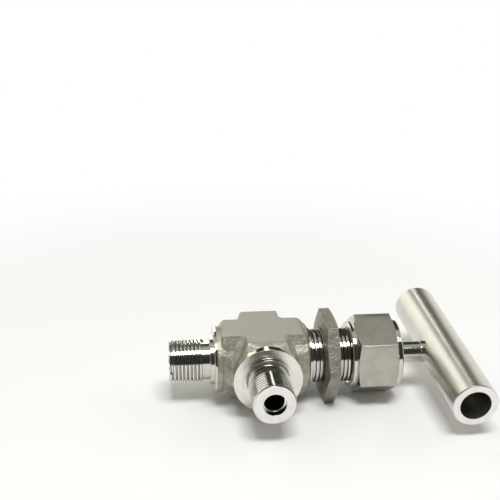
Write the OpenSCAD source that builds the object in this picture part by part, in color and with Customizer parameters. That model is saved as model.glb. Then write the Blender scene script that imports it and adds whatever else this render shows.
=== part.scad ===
// Angle needle valve with male taper thread ports, a panel nut and a tube handle.
// The origin is where the stem's axis meets the side port's axis. The stem runs along +X to the handle,
// the side port faces -Y, the bottom port faces -X, and the flat pads of the forging face +Z and -Z.
// The valve is drawn shut.

/* [Ports] */
// Outside diameter of the taper thread at its large end
port_thread_d = 21.34; // [17:0.1:23]
// Pitch of the taper thread
port_pitch = 1.814; // [1.2:0.01:2.2]
// Length that the taper thread loses one unit of diameter over
port_taper = 16; // [14:1:20]
// Distance from the port's axis crossing to the machined boss face
port_face = 24.5; // [23.5:0.5:30]
// Length of the port end from the boss face
port_len = 22; // [18:0.5:26]
// Diameter of the turned boss rim
port_boss_d = 33.4; // [30:0.1:36]
// Length of the turned boss rim
port_rim_len = 3.6; // [2:0.1:5]
// Diameter of the raised step on the boss face
port_step_d = 24.4; // [22:0.1:30]
// Height of the raised step on the boss face
port_step_h = 2; // [0.5:0.1:3]
// Length of the plain neck before the thread
port_neck_len = 2.6; // [2:0.1:5]
// Diameter of the flow passage
port_bore_d = 9.8; // [6:0.1:11]
// Diameter of the passage's mouth
port_mouth_d = 10.8; // [8:0.1:12]
// Depth of the passage's mouth
port_mouth_depth = 3.5; // [1:0.1:6]
// Distance from the stem's axis to the end of the side port's wide bore
side_bore_end = 10; // [8:0.5:14]
// Diameter of the hole from that bore to the needle's chamber
side_hole_d = 7; // [5:0.1:8]

/* [Forging] */
// Thickness of the forging over its two pads
pad_t = 34.6; // [32:0.2:38]
// Width of each arm of the plus shaped pad
pad_w = 18.4; // [14:0.2:22]
// Reach of each arm from the centre
pad_reach = 18.2; // [16:0.1:20]
// Width of an arm's root in the parting plane
arm_root_w = 35; // [33:0.5:38]
// Diameter of the forged boss behind each port
boss_d = 32.2; // [28:0.2:33]
// Diameter of the bonnet boss
bonnet_d = 33.6; // [29:0.2:34]
// Distance from the port axis to the bonnet boss's face
bonnet_face = 22.3; // [20:0.1:24]

/* [Bonnet neck] */
// Outside diameter of the neck's thread
neck_d = 27; // [25:0.5:29]
// Pitch of the neck's thread
neck_pitch = 2; // [1.5:0.25:2.5]
// Diameter of the collar between the boss and the thread
collar_d = 28.6; // [27.5:0.1:30]
// Length of the collar between the boss and the thread
collar_len = 1.3; // [0.5:0.1:2]
// Diameter of the packing chamber
chamber_d = 17.5; // [16:0.1:19]
// Distance from the port axis to the packing chamber's floor
chamber_floor = 27; // [25:0.1:30]

/* [Seat] */
// Diameter of the orifice
orifice_d = 6.4; // [4:0.1:7]
// Diameter of the seat cone's mouth
seat_mouth_d = 8.4; // [7.5:0.1:9]
// Distance from the port axis down to the seat's mouth
seat_depth = 7; // [6:0.1:9]
// Length of the orifice below the seat cone
orifice_len = 4.3; // [2:0.1:6]
// Diameter of the needle's chamber
valve_chamber_d = 11.8; // [11.2:0.1:12.6]
// Distance from the port axis up to the end of the needle's chamber
valve_chamber_top = 8.6; // [8:0.1:10]

/* [Lock nut] */
// Width across flats of the lock nut
lock_nut_af = 41.3; // [38:0.1:44]
// Thickness of the lock nut
lock_nut_t = 6.3; // [4:0.1:7]
// Free thread between the collar and the lock nut
lock_nut_gap = 6.2; // [0.5:0.1:9]
// Bevel angle of the lock nut's corners
lock_nut_bevel = 10; // [5:1:30]

/* [Packing nut] */
// Width across flats of the packing nut
packing_nut_af = 36.5; // [35:0.1:38]
// Free thread between the lock nut and the packing nut, where a panel goes
panel_gap = 7; // [4:0.1:14]
// Bevel angle of the packing nut's corners
packing_nut_bevel = 20; // [10:1:35]
// Length of the ring at the packing nut's lower end
nut_ring_low = 2; // [1:0.1:4]
// Length of the packing nut's hexagon
nut_hex_len = 20.9; // [18:0.1:24]
// Length of the ring at the packing nut's upper end
nut_ring_top = 2.6; // [2:0.1:5]
// Diameter of both rings
nut_ring_d = 33.5; // [32:0.1:35]
// Angle of the packing nut's lowest corner from straight down
nut_clock = 6.5; // [0:0.1:30]
// Depth from the packing nut's upper end to its inner shoulder
nut_roof = 10.6; // [8:0.1:12]

/* [Stem] */
// Diameter of the stem
stem_d = 10.5; // [9:0.1:11]
// Outside diameter of the stem's thread
stem_thread_d = 14; // [13:0.1:15]
// Pitch of the stem's thread
stem_pitch = 2; // [1.5:0.25:2.5]
// Travel of the needle from shut to open
needle_travel = 7; // [4:0.5:9]
// Length of the stem's plain end, below its thread
stem_skirt_len = 5.8; // [5:0.1:6.5]

/* [Needle] */
// Diameter of the needle's head
needle_d = 10.4; // [9.5:0.1:11]
// Diameter of the needle's shank inside the stem
shank_d = 6; // [5:0.1:7]
// Diameter of the needle's nose
nose_tip_d = 3.2; // [2:0.1:4]
// Diameter of the thrust ball
ball_d = 4.5; // [3.5:0.1:5]
// Diameter of the two retaining pins
pin_d = 1.5; // [1:0.1:1.6]
// Distance from the stem's end to the retaining pins
pin_depth = 3; // [2.5:0.1:3.5]
// Length of the needle's shank inside the stem
shank_len = 7.9; // [7:0.1:9]

/* [Packing] */
// Thickness of the packing washer
washer_t = 1.6; // [1:0.1:2]
// Thickness of one chevron ring
ring_t = 2.2; // [1.8:0.1:2.4]
// Height of a chevron's ridge
chevron_h = 1.5; // [1:0.1:2]
// Thickness of the lower adapter without its ridge
lower_adapter_t = 2; // [1.5:0.1:2.5]
// Thickness of the upper adapter
upper_adapter_t = 4; // [3:0.1:4.5]
// Thickness of the gland's flange
gland_flange_t = 2.8; // [2:0.1:3]

/* [Handle] */
// Outside diameter of the handle tube
tube_d = 22; // [20:0.5:24]
// Bore of the handle tube
tube_bore_d = 15; // [13:0.5:17]
// Length of the handle tube
tube_len = 99; // [80:1:120]
// Free length of the stem between the packing nut and the tube
stem_free = 14.1; // [10:0.1:20]
// Angle that the tube's near end hangs below level
tube_clock = 4; // [0:0.5:15]
// Diameter of the stem's spigot inside the tube
spigot_d = 8; // [7:0.1:9]
// Height of the collar's free rim
handle_collar_h = 1.7; // [1:0.1:3]
// Thread diameter of the handle screw
screw_d = 5; // [4:0.5:5]
// Length of the handle screw
screw_len = 12; // [10:1:14]

/* [Hidden] */
$fn = 96;

steel = [0.72, 0.71, 0.68];
forged_steel = [0.62, 0.6, 0.55];
turned_steel = [0.8, 0.8, 0.78];
white_plastic = [0.92, 0.92, 0.9];
beige_plastic = [0.76, 0.68, 0.52];

// Clearances
run = 0.05;            // radial clearance of a thread or a packing on its shaft
slip = 0.1;            // radial clearance of a bush
seat_gap = 0.03;       // gap between needle and seat with the valve shut
eps = 0.01;            // overlap that makes a cut run through a face

// Threads
thread_depth = 0.61;   // depth of a cut thread as a share of its pitch
crest = 0.14;          // flat on a crest as a share of the pitch

// Ports
port_end = port_face + port_len;
port_thread_len = port_len - port_step_h - port_neck_len;
port_neck_d = port_thread_d - 2 * thread_depth * port_pitch;
port_chamfer = 0.4;
rim_chamfer = 0.5;
block_bevel = 5;

// Bonnet and packing nut
neck_thread_x = bonnet_face + collar_len;
lock_nut_x = neck_thread_x + lock_nut_gap;
packing_nut_x = lock_nut_x + lock_nut_t + panel_gap;
collar_chamfer = 0.4;
neck_chamfer = 0.8;
nut_hex_x = packing_nut_x + nut_ring_low;
nut_ring_x = nut_hex_x + nut_hex_len;
nut_top = nut_ring_x + nut_ring_top;
nut_shoulder = nut_top - nut_roof;
nut_hole_d = stem_d + 0.7;
ring_edge = 0.6;
lock_bevel_start = lock_nut_af / 2 - 0.3;
nut_bevel_start = nut_ring_d / 2 + 0.1;
flat_turn = 30;         // turn that brings a corner straight down
gland_gap = 1.2;
neck_top = nut_shoulder - gland_flange_t - gland_gap;

// Stem wiper in the packing nut's upper end
wiper_t = 2;
wiper_w = 2;
wiper_depth = 4;
wiper_x = nut_top - wiper_depth;

// Packing stack, from the chamber's floor up
ring_count = 3;
packing_x = chamber_floor + washer_t;
rings_x = packing_x + lower_adapter_t;
upper_x = rings_x + ring_count * ring_t;
gland_x = upper_x + upper_adapter_t;
packing_od = chamber_d - 2 * slip;
packing_id = stem_d + 2 * run;
gland_id = stem_d + 2 * slip;
gland_flange_d = neck_d - 2.5;

// Stem
thread_end_gap = 0.2;
stem_thread_x = valve_chamber_top + thread_end_gap;
stem_thread_end = chamber_floor - thread_end_gap - needle_travel;
stem_skirt_d = valve_chamber_d - 4 * slip;
stem_skirt_x = stem_thread_x - stem_skirt_len;
pin_x = stem_skirt_x + pin_depth;
groove_d = shank_d - 1.6;
groove_w = pin_d + 0.3;
pin_y = groove_d / 2 + run + pin_d / 2;
pin_len = 2 * sqrt(pow(stem_skirt_d / 2, 2) - pow(pin_y + pin_d / 2, 2));
shank_top = stem_skirt_x + shank_len;
ball_x = shank_top + ball_d / 2;
socket_top = ball_x + ball_d / 2 + run;

// Needle and seat
seat_slope = 1 / tan(30);
seat_floor = -seat_depth;
cone_bottom = seat_floor - (seat_mouth_d - orifice_d) / 2 * seat_slope;
orifice_bottom = cone_bottom - orifice_len;
drill_slope = 1 / tan(59);
drill_bottom = orifice_bottom - (port_bore_d - orifice_d) / 2 * drill_slope;
nose_d = needle_d - 1.2;
nose_top = seat_floor + (nose_d - seat_mouth_d) / 2 * seat_slope + seat_gap;
nose_tip = nose_top - (nose_d - nose_tip_d) / 2 * seat_slope;
nose_head = nose_top + 0.8;
insert_shank_d = 5;
insert_shank_len = 4;
head_top = stem_skirt_x - 0.4;

// Handle
tube_low = nut_top + stem_free;
tube_x = tube_low + tube_d / 2;
handle_collar_d = stem_d + 0.7;
collar_seat = tube_x - sqrt(pow(tube_d / 2, 2) - pow(handle_collar_d / 2, 2));
handle_collar_x = tube_low - handle_collar_h;
spigot_top = tube_x + sqrt(pow(tube_bore_d / 2, 2) - pow(spigot_d / 2, 2)) - run;
screw_head_d = 1.8 * screw_d;
screw_sink = (screw_head_d - screw_d) / 2;
screw_top = tube_x + sqrt(pow(tube_d / 2, 2) - pow(screw_head_d / 2, 2));
socket_af = 0.6 * screw_d;
socket_depth = 1.6;
tube_edge = 0.4;

// Turns a shape made along +Z so that it runs along the stem, +X
module along_stem() {
    rotate([0, 90, 0]) children();
}

// Turns a shape made along +Z so that it runs out of the side port, -Y
module along_side() {
    rotate([90, 0, 0]) children();
}

// Turns a shape made along +Z so that it runs out of the bottom port, -X
module along_bottom() {
    rotate([0, -90, 0]) children();
}

// Cylinder along the axis from one place to another
module rod(from, to, d) {
    translate([0, 0, from]) cylinder(h = to - from, d = d);
}

// Ring with square edges
module ring(from, to, od, id) {
    rotate_extrude() translate([id / 2, from]) square([(od - id) / 2, to - from]);
}

// Outline of a cut thread: ridges on a core, with the crests shrinking by shrink along the length
function thread_outline(from, to, d, pitch, shrink) =
    let (n = floor((to - from) / pitch + eps), depth = thread_depth * pitch, flat = crest * pitch)
    [
        [0, from],
        for (i = [0 : n - 1])
            let (z = from + i * pitch, top = (d - (z - from) * shrink) / 2, low = top - depth)
            each [
                [low, z], [low, z + flat], [top, z + pitch / 2 - flat / 2], [top, z + pitch / 2 + flat / 2],
                [low, z + pitch - flat]
            ],
        [(d - (to - from) * shrink) / 2 - depth, to],
        [0, to]
    ];

module thread(from, to, d, pitch, shrink = 0) {
    rotate_extrude() polygon(thread_outline(from, to, d, pitch, shrink));
}

// Cone that bevels the end of a round part, kept inside it
module bevelled(from, to, d, bevel_from = 0, bevel_to = 0) {
    rotate_extrude() polygon([
        [0, from], [d / 2 - bevel_from, from], [d / 2, from + bevel_from], [d / 2, to - bevel_to],
        [d / 2 - bevel_to, to], [0, to]
    ]);
}

// Hexagon bevelled at both ends from the radius called start outwards, with a flat facing the turned +X
module hexagon(from, to, af, turn, bevel, start) {
    corner_d = af / cos(30);
    rise = (corner_d / 2 - start) * tan(bevel);
    rotate([0, 0, turn]) intersection() {
        rotate([0, 0, 30]) translate([0, 0, from]) cylinder(h = to - from, d = corner_d, $fn = 6);
        rotate_extrude() polygon([
            [0, from], [start, from], [corner_d / 2, from + rise], [corner_d / 2, to - rise],
            [start, to], [0, to]
        ]);
    }
}

// One port: forged boss, turned rim, raised step, plain neck and taper thread
module port() {
    thread_from = port_face + port_step_h + port_neck_len;
    rod(0, port_face - port_rim_len, boss_d);
    bevelled(port_face - port_rim_len - eps, port_face, port_boss_d, rim_chamfer, rim_chamfer);
    bevelled(port_face - eps, port_face + port_step_h, port_step_d, 0, 0.3);
    rod(port_face, thread_from + eps, port_neck_d);
    intersection() {
        thread(thread_from, port_end, port_thread_d, port_pitch, 1 / port_taper);
        bevelled(thread_from, port_end, port_thread_d, 0, port_chamfer + port_thread_len / port_taper / 2);
    }
}

// Passage of one port: its mouth, its bore down to a drilled cone, and the hole that goes on from there
module port_passage(bore_end, hole_end, hole_d) {
    cone_end = bore_end - (port_bore_d - hole_d) / 2 * drill_slope;
    rotate_extrude() polygon([
        [0, hole_end], [hole_d / 2, hole_end], [hole_d / 2, cone_end], [port_bore_d / 2, bore_end],
        [port_bore_d / 2, port_end - port_mouth_depth], [port_mouth_d / 2, port_end - port_mouth_depth],
        [port_mouth_d / 2, port_end + eps], [0, port_end + eps]
    ]);
}

// Arm of the forging, a prism that is narrow at the pads and wide in the parting plane
module arm(reach) {
    linear_extrude(height = reach) polygon([
        [pad_w / 2, pad_t / 2], [arm_root_w / 2, 0], [pad_w / 2, -pad_t / 2],
        [-pad_w / 2, -pad_t / 2], [-arm_root_w / 2, 0], [-pad_w / 2, pad_t / 2]
    ]);
}

// Middle of the forging, with its plus shaped pads and its closed block
module forging_core() {
    shoulder = pad_reach - block_bevel;
    intersection() {
        union() {
            rotate([90, 0, 0]) translate([0, 0, -pad_reach]) arm(2 * pad_reach);
            rotate([90, 0, 90]) translate([0, 0, -pad_reach]) arm(2 * pad_reach);
        }
        translate([0, 0, -pad_t / 2]) linear_extrude(height = pad_t) polygon([
            [pad_w / 2, pad_reach], [arm_root_w / 2, shoulder], [pad_reach, shoulder],
            [pad_reach, -pad_w / 2], [pad_w / 2, -pad_reach], [-pad_w / 2, -pad_reach],
            [-pad_reach, -pad_w / 2], [-pad_reach, shoulder], [-arm_root_w / 2, shoulder],
            [-pad_w / 2, pad_reach]
        ]);
    }
}

// Forged and machined body with both ports, the bonnet neck and the seat
module body() {
    color(forged_steel) difference() {
        union() {
            forging_core();
            along_side() port();
            along_bottom() port();
            along_stem() {
                bevelled(0, bonnet_face, bonnet_d, 0, 1);
                bevelled(bonnet_face - eps, neck_thread_x, collar_d, 0, collar_chamfer);
                intersection() {
                    thread(neck_thread_x - eps, neck_top, neck_d, neck_pitch);
                    bevelled(neck_thread_x - eps, neck_top, neck_d, 0, neck_chamfer);
                }
            }
        }
        along_side() port_passage(side_bore_end, 0, side_hole_d);
        along_bottom() port_passage(-drill_bottom, -cone_bottom - eps, orifice_d);
        along_stem() {
            rod(chamber_floor, neck_top + eps, chamber_d);
            rod(valve_chamber_top, chamber_floor + eps, stem_thread_d + 2 * run);
            rod(seat_floor, valve_chamber_top + eps, valve_chamber_d);
            rotate_extrude() polygon([
                [0, seat_floor + eps], [seat_mouth_d / 2, seat_floor + eps], [seat_mouth_d / 2, seat_floor],
                [orifice_d / 2, cone_bottom], [0, cone_bottom]
            ]);
        }
    }
}

// Thin hexagon nut that clamps a panel against the packing nut or the body
module lock_nut() {
    color(steel) along_stem() difference() {
        hexagon(lock_nut_x, lock_nut_x + lock_nut_t, lock_nut_af, 0, lock_nut_bevel, lock_bevel_start);
        rod(lock_nut_x - 1, lock_nut_x + lock_nut_t + 1, neck_d + 2 * run);
    }
}

// Hexagon nut with a turned ring at each end, which presses the gland down
module packing_nut() {
    color(steel) along_stem() difference() {
        union() {
            bevelled(packing_nut_x, nut_hex_x + eps, nut_ring_d, ring_edge, 0);
            hexagon(nut_hex_x, nut_ring_x, packing_nut_af, flat_turn - nut_clock, packing_nut_bevel,
                nut_bevel_start);
            bevelled(nut_ring_x - eps, nut_top, nut_ring_d, 0, ring_edge);
        }
        rod(packing_nut_x - eps, nut_shoulder, neck_d + 2 * run);
        rod(nut_shoulder - eps, nut_top + eps, nut_hole_d);
        rod(wiper_x, wiper_x + wiper_t, stem_d + 2 * wiper_w);
    }
}

// Metal bush between the packing nut and the packing
module gland() {
    color(turned_steel) along_stem() {
        ring(gland_x, nut_shoulder - gland_flange_t + eps, packing_od, gland_id);
        ring(nut_shoulder - gland_flange_t, nut_shoulder, gland_flange_d, gland_id);
    }
}

// Ring of the chevron stack: from and to are its edges, low and high its ridges
module chevron(from, to, low, high) {
    middle = (packing_od + packing_id) / 4;
    rotate_extrude() polygon([
        [packing_id / 2, from], [middle, from + low], [packing_od / 2, from],
        [packing_od / 2, to], [middle, to + high], [packing_id / 2, to]
    ]);
}

module upper_packing() {
    color(white_plastic) along_stem() chevron(upper_x, gland_x, chevron_h, 0);
}

module packing_ring(i) {
    color(white_plastic) along_stem()
        chevron(rings_x + i * ring_t, rings_x + (i + 1) * ring_t, chevron_h, chevron_h);
}

module lower_packing() {
    color(white_plastic) along_stem() chevron(packing_x, rings_x, 0, chevron_h);
}

module packing_washer() {
    color(turned_steel) along_stem() ring(chamber_floor, packing_x, packing_od, gland_id);
}

// Plastic ring in the packing nut's upper end that keeps dirt off the stem
module stem_wiper() {
    color(beige_plastic) along_stem() ring(wiper_x, wiper_x + wiper_t, stem_d + 2 * wiper_w, packing_id);
}

// Cross hole or pin beside the needle's shank, on both sides of it
module cross_pins(len) {
    for (side = [-1, 1])
        translate([pin_x, side * pin_y, -len / 2]) cylinder(h = len, d = pin_d, $fn = 32);
}

// Turned stem: skirt with the needle's socket, thread, shank, and spigot for the handle
module stem() {
    color(turned_steel) difference() {
        along_stem() {
            rod(stem_skirt_x, stem_thread_x + eps, stem_skirt_d);
            thread(stem_thread_x, stem_thread_end, stem_thread_d, stem_pitch);
            rod(stem_thread_end - eps, handle_collar_x, stem_d);
            rod(handle_collar_x - eps, spigot_top, spigot_d);
        }
        along_stem() {
            rod(stem_skirt_x - eps, socket_top, shank_d + 2 * run);
            rod(screw_top - screw_len, spigot_top + eps, screw_d);
        }
        cross_pins(stem_skirt_d);
    }
}

// Needle's metal head and the shank that swivels in the stem
module needle() {
    color(turned_steel) along_stem() rotate_extrude() polygon([
        [0, nose_head + insert_shank_len], [insert_shank_d / 2, nose_head + insert_shank_len],
        [insert_shank_d / 2, nose_head], [needle_d / 2, nose_head], [needle_d / 2, head_top],
        [shank_d / 2, head_top], [shank_d / 2, pin_x - groove_w / 2], [groove_d / 2, pin_x - groove_w / 2],
        [groove_d / 2, pin_x + groove_w / 2], [shank_d / 2, pin_x + groove_w / 2], [shank_d / 2, shank_top],
        [0, shank_top]
    ]);
}

// Plastic nose of the needle, which closes the seat
module needle_insert() {
    color(beige_plastic) along_stem() rotate_extrude() polygon([
        [0, nose_tip], [nose_tip_d / 2, nose_tip], [nose_d / 2, nose_top], [nose_d / 2, nose_head],
        [insert_shank_d / 2, nose_head], [insert_shank_d / 2, nose_head + insert_shank_len],
        [0, nose_head + insert_shank_len]
    ]);
}

module thrust_ball() {
    color(turned_steel) translate([ball_x, 0, 0]) sphere(d = ball_d);
}

module needle_pins() {
    color(turned_steel) cross_pins(pin_len);
}

// Handle tube with its seat for the collar, the spigot's hole and the sunk hole for the screw
module handle_tube() {
    color(steel) difference() {
        translate([tube_x, 0, 0]) rotate([90 + tube_clock, 0, 0])
            rotate_extrude() polygon([
                [tube_bore_d / 2, -tube_len / 2], [tube_d / 2 - tube_edge, -tube_len / 2],
                [tube_d / 2, -tube_len / 2 + tube_edge], [tube_d / 2, tube_len / 2 - tube_edge],
                [tube_d / 2 - tube_edge, tube_len / 2], [tube_bore_d / 2, tube_len / 2]
            ]);
        along_stem() {
            rod(tube_low - 1, collar_seat, handle_collar_d);
            rod(collar_seat - eps, tube_x, spigot_d);
            rod(tube_x, tube_x + tube_d / 2 + 1, screw_d);
            screw_cone(tube_x + tube_d / 2 + 1);
        }
    }
}

// Cone under the handle screw's head, carried on as a cylinder to a place above it
module screw_cone(to) {
    rotate_extrude() polygon([
        [0, screw_top - screw_sink], [screw_d / 2, screw_top - screw_sink], [screw_head_d / 2, screw_top],
        [screw_head_d / 2, to], [0, to]
    ]);
}

// Bright ring between the stem's shoulder and the tube
module handle_collar() {
    color(turned_steel) along_stem() ring(handle_collar_x, collar_seat, handle_collar_d, spigot_d);
}

// Flat headed screw through the tube's outer wall into the spigot
module handle_screw() {
    color(turned_steel) along_stem() difference() {
        union() {
            rod(screw_top - screw_len, screw_top - screw_sink + eps, screw_d);
            screw_cone(screw_top + eps);
        }
        translate([0, 0, screw_top - socket_depth])
            cylinder(h = socket_depth + 1, d = socket_af / cos(30), $fn = 6);
    }
}

body();
lock_nut();
packing_nut();
gland();
upper_packing();
packing_ring(0);  // packing_ring_1
packing_ring(1);  // packing_ring_2
packing_ring(2);  // packing_ring_3
lower_packing();
packing_washer();
stem_wiper();
stem();
needle();
needle_insert();
thrust_ball();
needle_pins();
handle_tube();
handle_collar();
handle_screw();
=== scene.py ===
import math

import bmesh
import bpy
from mathutils import Matrix, Vector


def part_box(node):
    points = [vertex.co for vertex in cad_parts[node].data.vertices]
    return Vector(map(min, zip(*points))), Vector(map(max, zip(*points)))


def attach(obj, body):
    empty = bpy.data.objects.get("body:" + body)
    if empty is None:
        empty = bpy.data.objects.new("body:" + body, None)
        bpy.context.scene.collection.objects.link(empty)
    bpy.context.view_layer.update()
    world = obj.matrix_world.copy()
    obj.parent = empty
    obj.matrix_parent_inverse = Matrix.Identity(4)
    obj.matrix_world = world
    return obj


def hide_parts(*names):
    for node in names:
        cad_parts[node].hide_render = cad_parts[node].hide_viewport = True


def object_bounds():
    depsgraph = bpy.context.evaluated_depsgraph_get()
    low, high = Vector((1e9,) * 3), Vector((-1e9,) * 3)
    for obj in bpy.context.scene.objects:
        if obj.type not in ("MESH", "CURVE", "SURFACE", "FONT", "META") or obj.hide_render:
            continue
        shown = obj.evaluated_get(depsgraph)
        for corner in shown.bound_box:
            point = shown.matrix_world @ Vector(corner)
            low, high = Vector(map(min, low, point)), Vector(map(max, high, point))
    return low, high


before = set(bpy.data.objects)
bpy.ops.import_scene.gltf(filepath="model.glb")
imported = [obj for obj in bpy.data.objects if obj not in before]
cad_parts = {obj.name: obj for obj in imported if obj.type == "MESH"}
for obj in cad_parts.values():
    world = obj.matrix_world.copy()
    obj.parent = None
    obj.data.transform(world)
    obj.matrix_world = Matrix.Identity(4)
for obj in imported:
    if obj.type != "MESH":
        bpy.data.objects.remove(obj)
cad_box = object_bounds()


# The table top and the studio. The valve lies on a white board under a wide softbox, in a dark room.
# A tall light stands behind it on the left, with a narrow one beside it, and pale walls stand at its
# sides. The camera stands in front, a little to the left and above.

FLOOR_SIZE = 40.0
FLOOR_COLOUR = (0.92, 0.92, 0.92, 1)
FLOOR_GLOW = 0.03
WHITE = (1, 1, 1, 1)
WHITE_NEAR = 0.09
WHITE_FAR = 0.4
SEEN_BY = ("Is Camera Ray", "Is Glossy Ray", "Is Transmission Ray")
ROOM_TINT = (1.0, 0.985, 0.9, 1)
ROOM_DARK = 0.045
HORIZON = (-3, 2, 1)
# Each lit stretch of the room's wall: where it starts, where it ends and how soft its edges are, first
# around the valve and then upward, in degrees, and how bright it is.
LIT_WALLS = (
    ((-37, -15, 2.0), (-3, 47, 3), 1.7),
    ((-60, 0, 8), (47, 66, 4), 0.4),
    ((2.3, 6.3, 0.7), (-3, 42, 4), 6.0),
    ((-118, -37, 3), (-3, 58, 5), 0.55),
    ((31, 112, 3), (-3, 46, 5), 0.95),
)
CEILING_OVER = (84, 110, 6)
CEILING_ACROSS = (-50, 50, 5)
CEILING_LIGHT = 0.5
SOFTBOX_PLACE = Vector((0.05, -0.4, 1.14))
SOFTBOX_AIM = Vector((0.02, 0, 0))
SOFTBOX_WIDTH = 0.6
SOFTBOX_DEPTH = 0.36
SOFTBOX_POWER = 10.4
CAMERA_PLACE = Vector((-0.05579, -0.38501, 0.20349))
CAMERA_FORWARD = Vector((0.11764, 0.92878, -0.35146))
CAMERA_UP = Vector((0.02484, 0.35106, 0.93603))
CAMERA_LENS = 62.46
CAMERA_SENSOR = 36.0


class Shade:
    """One shader socket. Arithmetic on it adds Math nodes, and node() adds any other kind."""

    def __init__(self, tree, socket=None):
        self.tree = tree
        self.socket = socket

    def node(self, kind, inputs=None, output=0, **settings):
        """Adds a node, joins or sets its inputs, and gives the output of this number or name."""
        made = self.tree.nodes.new(kind)
        for key, value in settings.items():
            setattr(made, key, value)
        for key, value in (inputs or {}).items():
            if isinstance(value, Shade):
                self.tree.links.new(value.socket, made.inputs[key])
            else:
                made.inputs[key].default_value = value
        return Shade(self.tree, made.outputs[output] if len(made.outputs) else None)

    def maths(self, operation, first, second=0.0):
        return self.node("ShaderNodeMath", {0: first, 1: second}, operation=operation)

    def __add__(self, other):
        return self.maths("ADD", self, other)

    def __radd__(self, other):
        return self.maths("ADD", other, self)

    def __sub__(self, other):
        return self.maths("SUBTRACT", self, other)

    def __rsub__(self, other):
        return self.maths("SUBTRACT", other, self)

    def __mul__(self, other):
        return self.maths("MULTIPLY", self, other)

    def __rmul__(self, other):
        return self.maths("MULTIPLY", other, self)

    def ramp(self, low, high, bottom=0.0, top=1.0):
        """Goes smoothly from bottom to top as this value goes from low to high."""
        return self.node(
            "ShaderNodeMapRange",
            {"Value": self, "From Min": low, "From Max": high, "To Min": bottom, "To Max": top},
            interpolation_type="SMOOTHSTEP",
        )

    def mix(self, first, second):
        """Colour that goes from first to second as this value goes from 0 to 1."""
        return self.node("ShaderNodeMix", {0: self, 6: first, 7: second}, output=2, data_type="RGBA")

    def parts(self):
        """The X, Y and Z of this vector."""
        return [self.node("ShaderNodeSeparateXYZ", {0: self}, output=part) for part in "XYZ"]

    def finish(self, shader):
        """Joins a shader to the material's output."""
        return self.node("ShaderNodeOutputMaterial", {0: shader})


def new_material(name):
    """An empty material, the start of its shader, and the place on the object as its first value."""
    mat = bpy.data.materials.new(name)
    mat.use_nodes = True
    mat.node_tree.nodes.clear()
    s = Shade(mat.node_tree)
    return mat, s, s.node("ShaderNodeTexCoord", output="Object")


def band(angle, low, high, soft):
    """1 where an angle in degrees lies between low and high, and 0 beyond a soft edge on both sides."""
    low, high, soft = math.radians(low), math.radians(high), math.radians(soft)
    return angle.ramp(low - soft, low + soft) * angle.ramp(high - soft, high + soft, 1.0, 0.0)


room = bpy.data.worlds.new("room")
bpy.context.scene.world = room
room.use_nodes = True
room.node_tree.nodes.clear()
sky = Shade(room.node_tree)
sky_x, sky_y, sky_z = sky.node("ShaderNodeTexCoord", output="Generated").parts()
height = sky.maths("ARCSINE", sky_z)
side = sky.maths("ARCTAN2", sky_x, sky_y)
over = sky.maths("ARCTAN2", sky_z, 0.0 - sky_y)
light = ROOM_DARK
for around, upward, brightness in LIT_WALLS:
    light = light + band(side, *around) * band(height, *upward) * brightness
light = light + band(over, *CEILING_OVER) * band(sky_x, *CEILING_ACROSS) * CEILING_LIGHT
seen, glossy, through = [sky.node("ShaderNodeLightPath", output=ray) for ray in SEEN_BY]
white = seen + (glossy + through) * band(height, *HORIZON)
strength = light * (1.0 - white) + white
glow = sky.node("ShaderNodeBackground", {0: white.mix(ROOM_TINT, WHITE), 1: strength})
sky.node("ShaderNodeOutputWorld", {0: glow})

table_mesh = bmesh.new()
bmesh.ops.create_grid(table_mesh, x_segments=1, y_segments=1, size=FLOOR_SIZE / 2)
bmesh.ops.translate(table_mesh, vec=(0, 0, cad_box[0].z), verts=table_mesh.verts)
table = bpy.data.objects.new("table_top", bpy.data.meshes.new("table_top"))
table_mesh.to_mesh(table.data)
table_mesh.free()
bpy.context.collection.objects.link(table)
board, s, spot = new_material("white_board")
paint = s.node("ShaderNodeBsdfDiffuse", {0: FLOOR_COLOUR})
seen, glossy, through = [s.node("ShaderNodeLightPath", output=ray) for ray in SEEN_BY]
away = s.node("ShaderNodeVectorMath", {0: spot}, output="Value", operation="LENGTH")
share = away.ramp(WHITE_NEAR, WHITE_FAR, FLOOR_GLOW, 1.0)
lit = s.node("ShaderNodeEmission", {0: WHITE, 1: 1.0})
s.finish(s.node("ShaderNodeMixShader", {0: (seen + glossy + through) * share, 1: paint, 2: lit}))
table.data.materials.append(board)

key = bpy.data.lights.new("softbox", "AREA")
key.shape = "RECTANGLE"
key.size = SOFTBOX_WIDTH
key.size_y = SOFTBOX_DEPTH
key.energy = SOFTBOX_POWER
key_lamp = bpy.data.objects.new("softbox", key)
key_lamp.location = SOFTBOX_PLACE
key_lamp.rotation_euler = (SOFTBOX_AIM - SOFTBOX_PLACE).to_track_quat("-Z", "Y").to_euler()
key_lamp.visible_camera = False
bpy.context.collection.objects.link(key_lamp)

lens = bpy.data.cameras.new("camera")
lens.lens = CAMERA_LENS
lens.sensor_width = CAMERA_SENSOR
lens.clip_start = 0.01
lens.clip_end = 50.0
camera = bpy.data.objects.new("camera", lens)
camera_right = CAMERA_FORWARD.cross(CAMERA_UP)
camera_turn = Matrix((camera_right, CAMERA_UP, -CAMERA_FORWARD)).transposed().to_4x4()
camera.matrix_world = Matrix.Translation(CAMERA_PLACE) @ camera_turn
bpy.context.collection.objects.link(camera)
bpy.context.scene.camera = camera
bpy.context.scene.view_settings.view_transform = "Standard"


# The forging: one piece of stainless steel, pressed hot between two dies that part in the middle of
# its height, then sand blasted. It has flat pads above and below, a round boss behind each port and
# the bonnet, and a closed block on the side away from the side port.

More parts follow.
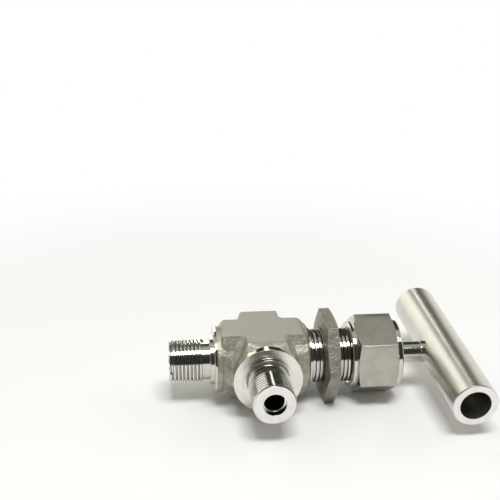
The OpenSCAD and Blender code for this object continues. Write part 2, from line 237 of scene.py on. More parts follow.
MM = 0.001
PAD_HALF = 17.3
PAD_WIDTH = 9.2
PAD_REACH = 18.2
SIDE_PAD_REACH = 16.2
ROOT_WIDTH = 17.5
BLOCK_SHOULDER = 13.2
BOTTOM_PAD_REACH = 18.8
SLOPE_END = 20.8
SLOPE_LOW = 15.9
CORNER_CUT = 22.3
WEB_TOP = 14.4
WEB_LOW = 6.86
WEB_HALF = 4.0
BOSS_RADIUS = 16.1
STEM_ARM_END_RADIUS = 17.7
BOSS_EDGE_RADIUS = 16.45
BONNET_RADIUS = 16.8
BONNET_FACE = 22.3
BONNET_EDGE = 1
SIDE_BOSS_END = 22.5
BOTTOM_BOSS_END = 23.6
BOTTOM_EDGE_START = 20.5
BOTTOM_EDGE_FULL = 21.2
FORGING_VOXEL = 0.4
PASSAGE_RADIUS = 4.9
DRILL_CONE_END = 14.1
ORIFICE_RADIUS = 3.2
ORIFICE_END = 13.05
ORIFICE_START = 8.73
SEAT_RADIUS = 4.2
SEAT_DEPTH = 7.0
NEEDLE_CHAMBER_RADIUS = 5.9
NEEDLE_CHAMBER_TOP = 8.6
STEM_BORE_RADIUS = 7.05
NECK_ROOT_RADIUS = 10.5
NECK_ROOT_START = 18.0
SIDE_HOLE_RADIUS = 3.5
SIDE_HOLE_END = 9.16
SIDE_BORE_END = 10.0
PORT_ROOT_RADIUS = 7.0
BOTTOM_ROOT_START = 14.0
CUTTER_END = 23.5
BOTTOM_CUTTER_END = 24.0
SKIN_DARK = (0.34, 0.33, 0.265)
SKIN_LIGHT = (0.57, 0.555, 0.48)
PAD_COLOUR = (0.52, 0.505, 0.46, 1)
PAD_FADE_START = 0.35
PAD_FADE_END = 0.1
NO_PADS = 99.0

ALONG_STEM = Matrix.Rotation(math.radians(90), 4, "Y")
ALONG_SIDE = Matrix.Rotation(math.radians(90), 4, "X")
ALONG_BOTTOM = Matrix.Rotation(math.radians(-90), 4, "Y")


def lathe(profile, steps=128):
    """A closed outline of (radius, place) points, turned about +Z."""
    bm = bmesh.new()
    points = [bm.verts.new((r, 0, z)) for r, z in profile]
    for first, second in zip(points, points[1:] + points[:1]):
        bm.edges.new((first, second))
    bmesh.ops.spin(
        bm, geom=bm.verts[:] + bm.edges[:], cent=(0, 0, 0), axis=(0, 0, 1), angle=math.tau,
        steps=steps, use_merge=True,
    )
    bmesh.ops.remove_doubles(bm, verts=bm.verts, dist=1e-4)
    bmesh.ops.recalc_face_normals(bm, faces=bm.faces)
    return bm


def rod(radius, start, end, steps=128):
    """A round bar along +Z."""
    bm = bmesh.new()
    bmesh.ops.create_cone(
        bm, cap_ends=True, segments=steps, radius1=radius, radius2=radius, depth=end - start,
        matrix=Matrix.Translation((0, 0, (start + end) / 2)),
    )
    return bm


def placed(bm, turn, name):
    """An object with this mesh turned into place and brought from millimetres to metres."""
    bmesh.ops.transform(bm, matrix=Matrix.Scale(MM, 4) @ turn, verts=bm.verts)
    obj = bpy.data.objects.new(name, bpy.data.meshes.new(name))
    bm.to_mesh(obj.data)
    bm.free()
    bpy.context.collection.objects.link(obj)
    return obj


def settle(obj):
    """Turns an object's modifiers into its mesh."""
    bpy.context.view_layer.update()
    solid = bpy.data.meshes.new_from_object(obj.evaluated_get(bpy.context.evaluated_depsgraph_get()))
    obj.modifiers.clear()
    obj.data = solid


def combine(obj, tool, operation, keep_finish=False):
    """Cuts an object with a tool, or keeps what both share, and takes the tool away."""
    cut = obj.modifiers.new("cut", "BOOLEAN")
    cut.operation = operation
    cut.object = tool
    cut.solver = "EXACT"
    if keep_finish:
        cut.material_mode = "TRANSFER"
    settle(obj)
    bpy.data.objects.remove(tool)
    return obj


def finish_piece(obj, body, node, smooth=30, round_edges=0.0):
    """Shades a piece, rounds its edges, hangs it on the body that it rides on, and hides the imported solid
    that it stands for.
    """
    obj.data.shade_smooth()
    obj.data.set_sharp_from_angle(angle=math.radians(smooth))
    if round_edges:
        edge = obj.modifiers.new("edge", "BEVEL")
        edge.width = round_edges * MM
        edge.segments = 2
        edge.limit_method = "ANGLE"
        edge.angle_limit = math.radians(28)
        edge.miter_outer = "MITER_ARC"
        edge.harden_normals = True
    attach(obj, body)
    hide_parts(node)


def slice_off(bm, point, away):
    """Cuts off what lies beyond a plane and closes the cut."""
    bmesh.ops.bisect_plane(
        bm, geom=bm.verts[:] + bm.edges[:] + bm.faces[:], dist=1e-5, plane_co=point, plane_no=away,
        clear_outer=True,
    )
    bmesh.ops.holes_fill(bm, edges=[e for e in bm.edges if e.is_boundary])


def moved_by(extruded, step, bm):
    """Moves the vertices that an extrusion made."""
    made = [v for v in extruded["geom"] if isinstance(v, bmesh.types.BMVert)]
    bmesh.ops.translate(bm, vec=step, verts=made)


def arm(near_pad, far_pad):
    """A bar with six sides along Y, narrow at the pads and wide at the parting line. At each end its pads
    stop and slope down to a boss, and its corners are cut off square to the diagonal."""
    bm = bmesh.new()
    outline = [
        (PAD_WIDTH, PAD_HALF), (ROOT_WIDTH, 0), (PAD_WIDTH, -PAD_HALF),
        (-PAD_WIDTH, -PAD_HALF), (-ROOT_WIDTH, 0), (-PAD_WIDTH, PAD_HALF),
    ]
    end = bm.faces.new([bm.verts.new((x, -SLOPE_END, z)) for x, z in outline])
    moved_by(bmesh.ops.extrude_face_region(bm, geom=[end]), (0, 2 * SLOPE_END, 0), bm)
    bmesh.ops.recalc_face_normals(bm, faces=bm.faces)
    corner = CORNER_CUT / math.sqrt(2)
    for end_way, pad_end in ((-1, near_pad), (1, far_pad)):
        for across_way in (-1, 1):
            slice_off(bm, (across_way * corner, end_way * corner, 0), (across_way, end_way, 0))
            fall = Vector((0, end_way * (PAD_HALF - SLOPE_LOW), across_way * (SLOPE_END - pad_end)))
            slice_off(bm, (0, end_way * pad_end, across_way * PAD_HALF), fall)
    return bm


def round_end(bm, end_way, radius, cuts=24):
    """Cuts an arm's end to a blunt cone, so that its corners run out into the round boss."""
    for i in range(cuts):
        a = math.tau * i / cuts
        point = (math.cos(a) * radius, end_way * SLOPE_END, math.sin(a) * radius)
        slice_off(bm, point, (math.cos(a), end_way, math.sin(a)))


def web(turn):
    """A bar on the diagonal that fills two of the hollow corners between the arms with a sloping face."""
    bm = bmesh.new()
    outline = [
        (WEB_TOP, PAD_HALF), (CORNER_CUT, WEB_LOW), (CORNER_CUT, -WEB_LOW), (WEB_TOP, -PAD_HALF),
        (-WEB_TOP, -PAD_HALF), (-CORNER_CUT, -WEB_LOW), (-CORNER_CUT, WEB_LOW), (-WEB_TOP, PAD_HALF),
    ]
    end = bm.faces.new([bm.verts.new((x, -WEB_HALF, z)) for x, z in outline])
    moved_by(bmesh.ops.extrude_face_region(bm, geom=[end]), (0, 2 * WEB_HALF, 0), bm)
    bmesh.ops.recalc_face_normals(bm, faces=bm.faces)
    matrix = Matrix.Rotation(math.radians(turn), 3, "Z")
    bmesh.ops.rotate(bm, cent=(0, 0, 0), matrix=matrix, verts=bm.verts)
    slice_off(bm, (0, BLOCK_SHOULDER, 0), (0, 1, 0))
    return bm


def toned(colour, tone):
    """A colour made darker by a factor."""
    return (*[part * tone for part in colour], 1)


def noise(s, place, scale, detail, roughness=0.5):
    """Noise with this many grains to the metre and this many finer layers on them."""
    return s.node("ShaderNodeTexNoise", {
        "Vector": place, "Scale": scale, "Detail": detail, "Roughness": roughness,
    })


def surface(s, colour, roughness, height, strength, distance, metallic=1.0):
    """Ends a material with this colour and roughness, and with bumps up to a distance high."""
    bump = s.node("ShaderNodeBump", {"Strength": strength, "Distance": distance, "Height": height})
    s.finish(s.node("ShaderNodeBsdfPrincipled", {
        "Base Color": colour, "Metallic": metallic, "Roughness": roughness, "Normal": bump,
    }))


def forged_finish(name, flat_at, tone):
    """Sand blasted stainless steel: a grainy, half dull skin with a coarse mottle. What lies as high or as
    low as flat_at is a pad, which is smoother and paler."""
    mat, s, place = new_material(name)
    level = s.maths("ABSOLUTE", place.parts()[2])
    off_pads = level.ramp((flat_at - PAD_FADE_START) * MM, (flat_at - PAD_FADE_END) * MM, 1.0, 0.0)
    grain = noise(s, place, 2400.0, 3.0, 0.6)
    dents = noise(s, place, 900.0, 2.0)
    waves = noise(s, place, 330.0, 2.0)
    patch = noise(s, place, 240.0, 3.0)
    shade = patch.ramp(0.3, 0.7) * 0.5 + grain.ramp(0.3, 0.7) * 0.5
    skin = shade.mix(toned(SKIN_DARK, tone), toned(SKIN_LIGHT, tone))
    height = (dents * 0.6 + waves) * (off_pads * 0.8 + 0.2) + grain * 0.2
    roughness = 0.54 - off_pads * 0.08 + grain * 0.14
    surface(s, off_pads.mix(PAD_COLOUR, skin), roughness, height, 1.0, 0.00045)
    return mat


blasted_steel = forged_finish("blasted_steel", PAD_HALF, 1.0)

side_arm = arm(SIDE_PAD_REACH, PAD_REACH)
round_end(side_arm, -1, BOSS_RADIUS)
slice_off(side_arm, (0, PAD_REACH, 0), (0, 1, 0))
for across_way in (-1, 1):
    rise = Vector((across_way * (PAD_REACH - BLOCK_SHOULDER), ROOT_WIDTH - PAD_WIDTH, 0))
    slice_off(side_arm, (across_way * PAD_WIDTH, PAD_REACH, 0), rise)
forging = placed(side_arm, Matrix(), "forging")

stem_arm = arm(PAD_REACH, BOTTOM_PAD_REACH)
round_end(stem_arm, -1, STEM_ARM_END_RADIUS)
round_end(stem_arm, 1, STEM_ARM_END_RADIUS)
quarter_turn = Matrix.Rotation(math.radians(90), 3, "Z")
bmesh.ops.rotate(stem_arm, cent=(0, 0, 0), matrix=quarter_turn, verts=stem_arm.verts)
slice_off(stem_arm, (0, BLOCK_SHOULDER, 0), (0, 1, 0))
bonnet_boss = lathe([
    (0, 0), (BONNET_RADIUS, 0), (BONNET_RADIUS, BONNET_FACE - BONNET_EDGE),
    (BONNET_RADIUS - BONNET_EDGE, BONNET_FACE), (0, BONNET_FACE),
])
bottom_boss = lathe([
    (0, 0), (BOSS_RADIUS, 0), (BOSS_RADIUS, BOTTOM_EDGE_START), (BOSS_EDGE_RADIUS, BOTTOM_EDGE_FULL),
    (BOSS_EDGE_RADIUS, BOTTOM_BOSS_END), (0, BOTTOM_BOSS_END),
])
lumps = [
    placed(stem_arm, Matrix(), "arm"),
    placed(web(45), Matrix(), "web"),
    placed(web(135), Matrix(), "web"),
    placed(rod(BOSS_RADIUS, 0, SIDE_BOSS_END), ALONG_SIDE, "side_boss"),
    placed(bottom_boss, ALONG_BOTTOM, "bottom_boss"),
    placed(bonnet_boss, ALONG_STEM, "bonnet_boss"),
]
joined = bmesh.new()
joined.from_mesh(forging.data)
for lump in lumps:
    joined.from_mesh(lump.data)
    bpy.data.objects.remove(lump)
joined.to_mesh(forging.data)
joined.free()
skin = forging.modifiers.new("skin", "REMESH")
skin.mode = "VOXEL"
skin.voxel_size = FORGING_VOXEL * MM
blend_edges = forging.modifiers.new("blend", "SMOOTH")
blend_edges.factor = 0.5
blend_edges.iterations = 8
settle(forging)

stem_cavity = lathe([
    (0, -DRILL_CONE_END), (PASSAGE_RADIUS, -DRILL_CONE_END), (ORIFICE_RADIUS, -ORIFICE_END),
    (ORIFICE_RADIUS, -ORIFICE_START), (SEAT_RADIUS, -SEAT_DEPTH), (NEEDLE_CHAMBER_RADIUS, -SEAT_DEPTH),
    (NEEDLE_CHAMBER_RADIUS, NEEDLE_CHAMBER_TOP), (STEM_BORE_RADIUS, NEEDLE_CHAMBER_TOP),
    (STEM_BORE_RADIUS, NECK_ROOT_START), (NECK_ROOT_RADIUS, NECK_ROOT_START),
    (NECK_ROOT_RADIUS, CUTTER_END), (0, CUTTER_END),
], steps=96)
side_cavity = lathe([
    (0, 0), (SIDE_HOLE_RADIUS, 0), (SIDE_HOLE_RADIUS, SIDE_HOLE_END), (PASSAGE_RADIUS, SIDE_BORE_END),
    (PORT_ROOT_RADIUS, SIDE_BORE_END), (PORT_ROOT_RADIUS, CUTTER_END), (0, CUTTER_END),
], steps=96)
bottom_cavity = lathe([
    (0, BOTTOM_ROOT_START), (PORT_ROOT_RADIUS, BOTTOM_ROOT_START), (PORT_ROOT_RADIUS, BOTTOM_CUTTER_END),
    (0, BOTTOM_CUTTER_END),
], steps=96)
for cavity, turn in ((stem_cavity, ALONG_STEM), (side_cavity, ALONG_SIDE), (bottom_cavity, ALONG_BOTTOM)):
    combine(forging, placed(cavity, turn, "cavity"), "DIFFERENCE")
forging.data.materials.clear()
forging.data.materials.append(blasted_steel)
finish_piece(forging, "root", "body", smooth=40)


# The two port ends, turned from the same forging: a bright rim and face with a raised step, a plain
# neck, and a male taper pipe thread with the flow passage drilled through it.

PORT_FACE = 24.5
PORT_END = 46.48
RIM_RADIUS = 16.7
SIDE_RIM_START = 20.9
BOTTOM_RIM_START = 23.4
STEP_RADIUS = 12.2
STEP_TOP = 26.5
THREAD_START = 29.1
THREAD_RADIUS = 10.67
THREAD_PITCH = 1.814
THREAD_SLOPE = 1 / 32
MOUTH_RADIUS = 5.4
MOUTH_DEPTH = 3.5
END_LAND = 0.5
SIDE_END_START = 9.9
END_ROOT_RADIUS = 8.0
DRILLED_WITHIN = 5.1
# A ridge's depth, and half its width at the crest and at the root, as shares of its pitch, and how deep
# it is sunk in the core.
THREAD_DEPTH = 0.52
CREST_HALF = 0.23
ROOT_HALF = 0.43
RIDGE_SUNK = 0.3
TURNED = (0.66, 0.65, 0.59)
THREADED = (0.76, 0.75, 0.7)
FACED = (0.82, 0.81, 0.775)
# Painted shade inside the drilled passage: the dark colours of its wall.
HOLE_SHADE_DARK = (0.2, 0.19, 0.16, 1)
HOLE_SHADE_LIGHT = (0.32, 0.31, 0.27, 1)
# The painted shade in a thread's roots: its colour, how far below the crest it starts and is full,
# and how far before the thread's end it fades and is gone.
ROOT_SHADE = (0.13, 0.125, 0.105, 1)
ROOT_SHADE_START = 0.05
ROOT_SHADE_FULL = 0.3
ROOT_SHADE_FADE = 1.1
ROOT_SHADE_GONE = 0.7
NO_END = 99.0
MARKS_TO_THE_METRE = 4000.0


def thread(radius, pitch, start, end, slope=0.0, land=0.25, steps=56):
    """A thread's ridge, wound up +Z on a core. It rises out of the core in its first turn, grows narrower
    by its slope, and is bevelled down to a low land at its end."""
    bm = bmesh.new()
    root = radius - THREAD_DEPTH * pitch
    half = ROOT_HALF * pitch
    crest_half = CREST_HALF * pitch
    outline = [
        (root - RIDGE_SUNK, -half), (root, -half), (radius, -crest_half),
        (radius, crest_half), (root, half), (root - RIDGE_SUNK, half),
    ]
    points = [bm.verts.new((r, 0, start + half + z)) for r, z in outline]
    for first, second in zip(points, points[1:] + points[:1]):
        bm.edges.new((first, second))
    turns = (end - start) / pitch - 2 * ROOT_HALF
    count = round(turns * steps)
    bmesh.ops.spin(
        bm, geom=bm.verts[:] + bm.edges[:], cent=(0, 0, 0), axis=(0, 0, 1), dvec=(0, 0, pitch / steps),
        angle=math.tau * count / steps, steps=count, use_merge=False,
    )
    bmesh.ops.holes_fill(bm, edges=[e for e in bm.edges if e.is_boundary])
    for v in bm.verts:
        r = math.hypot(v.co.x, v.co.y)
        fade = min(1.0, max(0.0, (v.co.z - start) / pitch))
        new = root + (r - root) * fade if r > root else r
        new -= (v.co.z - start) * slope
        new = min(new, root - (end - start) * slope + land + (end - v.co.z))
        v.co.x *= new / r
        v.co.y *= new / r
    bmesh.ops.recalc_face_normals(bm, faces=bm.faces)
    return bm


def turned_finish(name, axis, colour=TURNED, rough=0.08, marks=0.3, crest=0.0, slope=0.0, end=NO_END):
    """Bright turned steel with fine tool marks round its axis, which is X at 0 and Y at 1. With a crest,
    which is a thread's crest radius where the axis starts, its grooves get painted shade, dark and
    rougher. The crest comes in by its slope, and the painted shade stops before the thread's end."""
    mat, s, place = new_material(name)
    parts = place.parts()
    along = parts.pop(axis)
    out = s.maths("SQRT", parts[0] * parts[0] + parts[1] * parts[1])
    lines = s.node("ShaderNodeCombineXYZ", {0: along * MARKS_TO_THE_METRE, 1: out * MARKS_TO_THE_METRE})
    tool_marks = noise(s, lines, 1.0, 3.0, 0.65)
    smear = noise(s, place, 300.0, 3.0)
    tint = smear.ramp(0.3, 0.7).mix(toned(colour, 0.92), toned(colour, 1.0))
    roughness = rough + smear * 0.06
    if crest:
        distance = s.maths("ABSOLUTE", along)
        below = crest * MM - out - distance * slope
        before_end = distance.ramp((end - ROOT_SHADE_FADE) * MM, (end - ROOT_SHADE_GONE) * MM, 1.0, 0.0)
        # Painted shade: a dark colour in the thread's roots.
        root_shade = below.ramp(ROOT_SHADE_START * MM, ROOT_SHADE_FULL * MM) * before_end
        tint = root_shade.mix(tint, ROOT_SHADE)
        roughness = roughness + root_shade * 0.4
    surface(s, tint, roughness, tool_marks, marks, 0.00006)
    return mat


def hole_wall_shade():
    """The dull wall of a drilled hole, with painted shade: a dark colour with a random mottle."""
    mat, s, place = new_material("hole_wall_painted_shade")
    hole_mottle = noise(s, place, 260.0, 3.0)
    colour = hole_mottle.ramp(0.3, 0.7).mix(HOLE_SHADE_DARK, HOLE_SHADE_LIGHT)
    surface(s, colour, 0.3 + hole_mottle * 0.15, hole_mottle, 0.3, 0.00005)
    return mat


def bored(bm, radius):
    """Gives the hole's wall, up to a radius, a piece's second material, which paints shade in the hole, and
    what faces its end the third.
    """
    for face in bm.faces:
        middle = face.calc_center_median()
        if math.hypot(middle.x, middle.y) < radius:
            face.material_index = 1
        elif face.normal.z > 0.9:
            face.material_index = 2
    return bm


# The drilled passage's wall, with painted shade.
drilled = hole_wall_shade()
core_radius = THREAD_RADIUS - THREAD_DEPTH * THREAD_PITCH
core_end = core_radius - (PORT_END - THREAD_START) * THREAD_SLOPE
crest_at_axis = THREAD_RADIUS + THREAD_START * THREAD_SLOPE
PORTS = (
    ("side_port", ALONG_SIDE, 1, SIDE_END_START, SIDE_RIM_START),
    ("bottom_port", ALONG_BOTTOM, 0, BOTTOM_ROOT_START, BOTTOM_RIM_START),
)
for port, turn, axis, end_start, rim_start in PORTS:
    bright = turned_finish(f"turned_{port}", axis)
    faced = turned_finish(f"faced_{port}", axis, FACED, rough=0.2, marks=0.4)
    end_mesh = lathe([
        (PASSAGE_RADIUS, end_start), (END_ROOT_RADIUS, end_start), (END_ROOT_RADIUS, rim_start),
        (RIM_RADIUS, rim_start), (RIM_RADIUS, PORT_FACE), (STEP_RADIUS, PORT_FACE), (STEP_RADIUS, STEP_TOP),
        (core_radius, STEP_TOP), (core_radius, THREAD_START), (core_end, PORT_END - 2 * END_LAND),
        (core_end + END_LAND, PORT_END - END_LAND), (core_end + END_LAND, PORT_END), (MOUTH_RADIUS, PORT_END),
        (MOUTH_RADIUS, PORT_END - MOUTH_DEPTH), (PASSAGE_RADIUS, PORT_END - MOUTH_DEPTH),
    ])
    end_piece = placed(bored(end_mesh, DRILLED_WITHIN), turn, f"{port}_end")
    for finish in (bright, drilled, faced):
        end_piece.data.materials.append(finish)
    finish_piece(end_piece, "root", "body", round_edges=0.15)
    ridge_mesh = thread(THREAD_RADIUS, THREAD_PITCH, THREAD_START, PORT_END, THREAD_SLOPE, END_LAND)
    ridge = placed(ridge_mesh, turn, f"{port}_thread")
    # The thread's material paints shade in its roots.
    ridge.data.materials.append(turned_finish(
        f"threaded_{port}", axis, THREADED, crest=crest_at_axis, slope=THREAD_SLOPE, end=PORT_END,
    ))
    finish_piece(ridge, "root", "body")


# The bonnet neck, turned from the forging as well: a short collar, then a straight thread that takes
# the lock nut and the packing nut. It holds the packing chamber and the stem's female thread.

NECK_PIECE_START = 17.8
NECK_PIECE_RADIUS = 12.0
RING_START = 22.0
RING_RADIUS = 14.3
RING_END = 23.6
NECK_RADIUS = 13.5
NECK_PITCH = 2.0
NECK_TOP = 54.0
CHAMBER_RADIUS = 8.75
CHAMBER_FLOOR = 27.0

bright_stem = turned_finish("turned_along_stem", 0)
neck_core = NECK_RADIUS - THREAD_DEPTH * NECK_PITCH
neck = placed(lathe([
    (STEM_BORE_RADIUS, NECK_PIECE_START), (NECK_PIECE_RADIUS, NECK_PIECE_START),
    (NECK_PIECE_RADIUS, RING_START), (RING_RADIUS, RING_START), (RING_RADIUS, RING_END),
    (neck_core, RING_END), (neck_core, NECK_TOP), (CHAMBER_RADIUS, NECK_TOP),
    (CHAMBER_RADIUS, CHAMBER_FLOOR), (STEM_BORE_RADIUS, CHAMBER_FLOOR),
]), ALONG_STEM, "bonnet_neck")
neck.data.materials.append(bright_stem)
finish_piece(neck, "root", "body", round_edges=0.3)
neck_ridge = thread(NECK_RADIUS, NECK_PITCH, RING_END, NECK_TOP, steps=72)
neck_thread = placed(neck_ridge, ALONG_STEM, "bonnet_thread")
# The thread's material paints shade in its roots.
neck_thread.data.materials.append(turned_finish("threaded_neck", 0, crest=NECK_RADIUS))
finish_piece(neck_thread, "root", "body")


# The lock nut: a thin, wide hexagon cut from plate and sand blasted, with its corners turned to a
# shallow cone. It runs on the neck's thread and clamps a panel.

LOCK_START = 29.8
LOCK_END = 36.1
LOCK_FLAT = 20.65
LOCK_FACE = 20.35
LOCK_BEVEL = 10
NUT_BORE = 13.55
NUT_MOUTH = 14.4
NUT_LEAD = 0.8
BAR_EDGE = 0.3
CORNER_SPARE = 0.4


def corner_of(flat):
    """How far a hexagon's corners are from its middle."""
    return flat / math.cos(math.radians(30))


def nut(name, flat, lowest, profile, faces, turned):
    """A hexagonal bar cut to a turned outline. Its flats take one finish and what was turned the other."""
    bm = bmesh.new()
    corner = corner_of(flat)
    angles = [math.radians(lowest + 60 * i) for i in range(6)]
    low = min(z for r, z in profile) - 1
    high = max(z for r, z in profile) + 1
    end = bm.faces.new([bm.verts.new((corner * math.cos(a), corner * math.sin(a), low)) for a in angles])
    moved_by(bmesh.ops.extrude_face_region(bm, geom=[end]), (0, 0, high - low), bm)
    upright = [e for e in bm.edges if abs(e.verts[0].co.z - e.verts[1].co.z) > 1]
    bmesh.ops.bevel(
        bm, geom=upright, affect="EDGES", offset=BAR_EDGE, offset_type="OFFSET", segments=3, profile=0.5,
        material=-1,
    )
    bmesh.ops.recalc_face_normals(bm, faces=bm.faces)
    bar = placed(bm, ALONG_STEM, name)
    bar.data.materials.append(faces)
    cutter = placed(lathe(profile, steps=180), ALONG_STEM, "turned_outline")
    cutter.data.materials.append(turned)
    return combine(bar, cutter, "INTERSECT", keep_finish=True)


def cone_rise(flat, inside, slope):
    """How far a corner's cone runs along the nut, from inside the flats out past the corner."""
    return (corner_of(flat) + CORNER_SPARE - inside) * math.tan(math.radians(slope))


blasted_nut = forged_finish("blasted_nut", NO_PADS, 0.75)
lock_rise = cone_rise(LOCK_FLAT, LOCK_FACE, LOCK_BEVEL)
lock_corner = corner_of(LOCK_FLAT) + CORNER_SPARE
lock_nut = nut("lock_nut_piece", LOCK_FLAT, 30, [
    (NUT_BORE, LOCK_START + NUT_LEAD), (NUT_MOUTH, LOCK_START), (LOCK_FACE, LOCK_START),
    (lock_corner, LOCK_START + lock_rise), (lock_corner, LOCK_END - lock_rise), (LOCK_FACE, LOCK_END),
    (NUT_MOUTH, LOCK_END), (NUT_BORE, LOCK_END - NUT_LEAD),
], blasted_nut, blasted_nut)
finish_piece(lock_nut, "lock_nut", "lock_nut", round_edges=0.2)


# The packing nut: turned from hexagonal bar, with a bright ring at each end and 20 degree cones on
# its corners. Its flats keep the fine lengthwise grain of the bar.

PACK_START = 43.1
PACK_HEX = 45.1
PACK_HEX_END = 66.0
PACK_END = 68.6
PACK_FLAT = 18.25
PACK_RING = 16.75
PACK_FACE = 16.85
PACK_BEVEL = 20
PACK_EDGE = 0.6
PACK_BORE = 5.6
PACK_ROOF = 58.0
WIPER_RADIUS = 7.25
WIPER_FLOOR = 64.6
WIPER_TOP = 66.6
NUT_CLOCK = 6.5
DRAWN_DARK = (0.4, 0.385, 0.34, 1)
DRAWN_LIGHT = (0.5, 0.485, 0.43, 1)


def drawn_finish():
    """Drawn hexagonal bar: dull, with fine streaks along its length."""
    mat, s, place = new_material("drawn_bar")
    stretched = s.node("ShaderNodeMapping", {"Vector": place, "Scale": (0.12, 1.0, 1.0)})
    streaks = noise(s, stretched, 3200.0, 3.0, 0.6)
    patch = noise(s, place, 160.0, 2.0)
    shade = streaks.ramp(0.3, 0.7) * 0.5 + patch.ramp(0.35, 0.65) * 0.5
    colour = shade.mix(DRAWN_DARK, DRAWN_LIGHT)
    surface(s, colour, 0.26 + streaks * 0.1, streaks, 0.25, 0.00005)
    return mat


pack_rise = cone_rise(PACK_FLAT, PACK_FACE, PACK_BEVEL)
pack_corner = corner_of(PACK_FLAT) + CORNER_SPARE
packing_nut = nut("packing_nut_piece", PACK_FLAT, -NUT_CLOCK, [
    (NUT_BORE, PACK_START + NUT_LEAD), (NUT_MOUTH, PACK_START), (PACK_RING - PACK_EDGE, PACK_START),
    (PACK_RING, PACK_START + PACK_EDGE), (PACK_RING, PACK_HEX), (PACK_FACE, PACK_HEX),
    (pack_corner, PACK_HEX + pack_rise), (pack_corner, PACK_HEX_END - pack_rise),
    (PACK_FACE, PACK_HEX_END), (PACK_RING, PACK_HEX_END), (PACK_RING, PACK_END - PACK_EDGE),
    (PACK_RING - PACK_EDGE, PACK_END), (PACK_BORE + PACK_EDGE, PACK_END), (PACK_BORE, PACK_END - PACK_EDGE),
    (PACK_BORE, WIPER_TOP), (WIPER_RADIUS, WIPER_TOP), (WIPER_RADIUS, WIPER_FLOOR),
    (PACK_BORE, WIPER_FLOOR), (PACK_BORE, PACK_ROOF), (NUT_BORE, PACK_ROOF),
], drawn_finish(), bright_stem)
finish_piece(packing_nut, "packing_nut", "packing_nut", round_edges=0.2)


# The stem: one turned bar with a plain end that holds the needle, a short thread, a polished shank
# and a spigot that goes into the handle.

STEM_RADIUS = 5.25
STEM_THREAD_RADIUS = 7.0
STEM_THREAD_START = 8.8
STEM_THREAD_END = 19.8
STEM_FOOT = 3.0
FOOT_RADIUS = 5.7
SOCKET_RADIUS = 3.05
SOCKET_ROOF = 15.45
SPIGOT_RADIUS = 4.0
SCREW_RADIUS = 2.5
SCREW_FLOOR = 91.74
COLLAR_START = 81.0

polished = turned_finish("polished_stem", 0, rough=0.1, marks=0.15)
stem_core = STEM_THREAD_RADIUS - THREAD_DEPTH * NECK_PITCH
stem_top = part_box("stem")[1].x / MM
stem = placed(lathe([
    (SOCKET_RADIUS, STEM_FOOT), (FOOT_RADIUS, STEM_FOOT), (FOOT_RADIUS, STEM_THREAD_START),
    (stem_core, STEM_THREAD_START), (stem_core, STEM_THREAD_END), (STEM_RADIUS, STEM_THREAD_END),
    (STEM_RADIUS, COLLAR_START), (SPIGOT_RADIUS, COLLAR_START), (SPIGOT_RADIUS, stem_top),
    (SCREW_RADIUS, stem_top), (SCREW_RADIUS, SCREW_FLOOR), (0, SCREW_FLOOR), (0, SOCKET_ROOF),
    (SOCKET_RADIUS, SOCKET_ROOF),
]), ALONG_STEM, "stem_piece")
stem.data.materials.append(polished)
finish_piece(stem, "stem", "stem", round_edges=0.2)
stem_ridge = thread(STEM_THREAD_RADIUS, NECK_PITCH, STEM_THREAD_START, STEM_THREAD_END, steps=48)
stem_thread = placed(stem_ridge, ALONG_STEM, "stem_thread")
stem_thread.data.materials.append(polished)
finish_piece(stem_thread, "stem", "stem")


# The needle and what holds it: a turned head with a plastic nose that closes the seat, a hardened
# ball that takes the stem's thrust, and two pins across the stem's end in the needle's groove.

BEIGE_LIGHT = (0.72, 0.63, 0.46, 1)
BEIGE_DARK = (0.64, 0.55, 0.39, 1)


def paint_node(node, mat):
    """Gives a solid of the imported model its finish."""
    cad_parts[node].data.materials.clear()
    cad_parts[node].data.materials.append(mat)


def plastic_finish(name, light_colour, dark_colour, rough):
    """Machined or moulded plastic with a faint mottle."""
    mat, s, place = new_material(name)
    mottle = noise(s, place, 500.0, 4.0)
    colour = mottle.ramp(0.3, 0.7).mix(dark_colour, light_colour)
    surface(s, colour, rough + mottle * 0.1, mottle, 0.15, 0.00005, metallic=0.0)
    return mat


beige_plastic = plastic_finish("beige_plastic", BEIGE_LIGHT, BEIGE_DARK, rough=0.4)
for node in ("needle", "thrust_ball", "needle_pins"):
    paint_node(node, polished)
paint_node("needle_insert", beige_plastic)


# The packing: a steel washer, a stack of white plastic rings between two adapters, and the steel
# gland that the packing nut pushes down on it. A plastic ring in the nut's top wipes the stem.

PACKING_LIGHT = (0.87, 0.87, 0.85, 1)
PACKING_DARK = (0.8, 0.8, 0.78, 1)

white_plastic = plastic_finish("white_packing", PACKING_LIGHT, PACKING_DARK, rough=0.45)
for node in ("upper_packing", "packing_ring_1", "packing_ring_2", "packing_ring_3", "lower_packing"):
    paint_node(node, white_plastic)
for node in ("gland", "packing_washer"):
    paint_node(node, bright_stem)
paint_node("stem_wiper", beige_plastic)


# The handle: a length of stainless tube with a satin finish, square across the stem. A collar seats
# it on the stem's shoulder, and a flat headed screw through its outer wall holds it on the spigot.

TUBE_AXIS = 93.7
TUBE_RADIUS = 11.0
TUBE_BORE = 7.5
TUBE_HALF = 49.499
TUBE_EDGE = 0.4
TUBE_CLOCK = 4.0
TUBE_END = (0.86, 0.85, 0.82)
SATIN_DARK = (0.62, 0.6, 0.555, 1)
SATIN_LIGHT = (0.71, 0.695, 0.65, 1)
COLLAR_END = 84.2
COLLAR_RADIUS = 5.6
SPIGOT_HOLE_START = 80.0
SPIGOT_HOLE_END = 92.0
SCREW_HOLE_START = 96.0
SCREW_HOLE_END = 108.0
HEAD_RADIUS = 4.5
HEAD_DEPTH = 2.0
SCREW_TOP = 103.74
SCREW_LENGTH = 12
KEY_FLAT = 1.5
KEY_DEPTH = 1.6


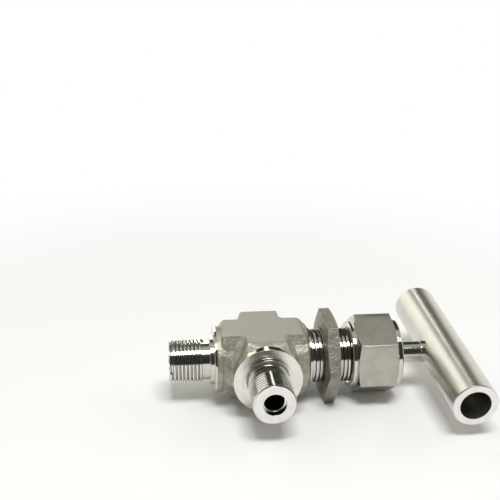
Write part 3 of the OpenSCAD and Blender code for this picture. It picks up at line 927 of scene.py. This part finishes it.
def satin_finish():
    """Satin tube: fine scratches along its length on a half bright ground."""
    mat, s, place = new_material("satin_tube")
    stretched = s.node("ShaderNodeMapping", {"Vector": place, "Scale": (1.0, 0.06, 1.0)})
    scratches = noise(s, stretched, 3000.0, 3.0, 0.6)
    cloud = noise(s, place, 120.0, 3.0)
    shade = scratches.ramp(0.3, 0.7) * 0.5 + cloud.ramp(0.35, 0.65) * 0.5
    colour = shade.mix(SATIN_DARK, SATIN_LIGHT)
    surface(s, colour, 0.26 + scratches * 0.08 + cloud * 0.05, scratches, 0.2, 0.00003)
    return mat


across = Matrix.Translation((TUBE_AXIS, 0, 0)) @ Matrix.Rotation(math.radians(90 + TUBE_CLOCK), 4, "X")
tube = placed(lathe([
    (TUBE_BORE, -TUBE_HALF), (TUBE_RADIUS - TUBE_EDGE, -TUBE_HALF), (TUBE_RADIUS, TUBE_EDGE - TUBE_HALF),
    (TUBE_RADIUS, TUBE_HALF - TUBE_EDGE), (TUBE_RADIUS - TUBE_EDGE, TUBE_HALF), (TUBE_BORE, TUBE_HALF),
], steps=160), across, "handle_tube_piece")
combine(tube, placed(lathe([
    (0, SPIGOT_HOLE_START), (COLLAR_RADIUS, SPIGOT_HOLE_START), (COLLAR_RADIUS, COLLAR_END),
    (SPIGOT_RADIUS, COLLAR_END), (SPIGOT_RADIUS, SPIGOT_HOLE_END), (0, SPIGOT_HOLE_END),
], steps=96), ALONG_STEM, "spigot_hole"), "DIFFERENCE")
combine(tube, placed(lathe([
    (0, SCREW_HOLE_START), (SCREW_RADIUS, SCREW_HOLE_START), (SCREW_RADIUS, SCREW_TOP - HEAD_DEPTH),
    (HEAD_RADIUS, SCREW_TOP), (HEAD_RADIUS, SCREW_HOLE_END), (0, SCREW_HOLE_END),
], steps=96), ALONG_STEM, "screw_hole"), "DIFFERENCE")
tube.data.materials.clear()
tube.data.materials.append(satin_finish())
tube.data.materials.append(turned_finish("sawn_tube_end", 1, TUBE_END, rough=0.3, marks=0.4))
tube_way = across.to_3x3() @ Vector((0, 0, 1))
for face in tube.data.polygons:
    if abs(face.normal.dot(tube_way)) > 0.95:
        face.material_index = 1
finish_piece(tube, "stem", "handle_tube", round_edges=0.3)

handle_collar = placed(lathe([
    (SPIGOT_RADIUS, COLLAR_START), (COLLAR_RADIUS, COLLAR_START), (COLLAR_RADIUS, COLLAR_END),
    (SPIGOT_RADIUS, COLLAR_END),
]), ALONG_STEM, "handle_collar_piece")
handle_collar.data.materials.append(polished)
finish_piece(handle_collar, "stem", "handle_collar", round_edges=0.3)

screw = placed(lathe([
    (0, SCREW_TOP - SCREW_LENGTH), (SCREW_RADIUS, SCREW_TOP - SCREW_LENGTH),
    (SCREW_RADIUS, SCREW_TOP - HEAD_DEPTH), (HEAD_RADIUS, SCREW_TOP), (0, SCREW_TOP),
], steps=96), ALONG_STEM, "handle_screw_piece")
socket = rod(corner_of(KEY_FLAT), SCREW_TOP - KEY_DEPTH, SCREW_TOP + 1, steps=6)
combine(screw, placed(socket, ALONG_STEM, "socket"), "DIFFERENCE")
screw.data.materials.clear()
screw.data.materials.append(polished)
finish_piece(screw, "stem", "handle_screw", round_edges=0.12)
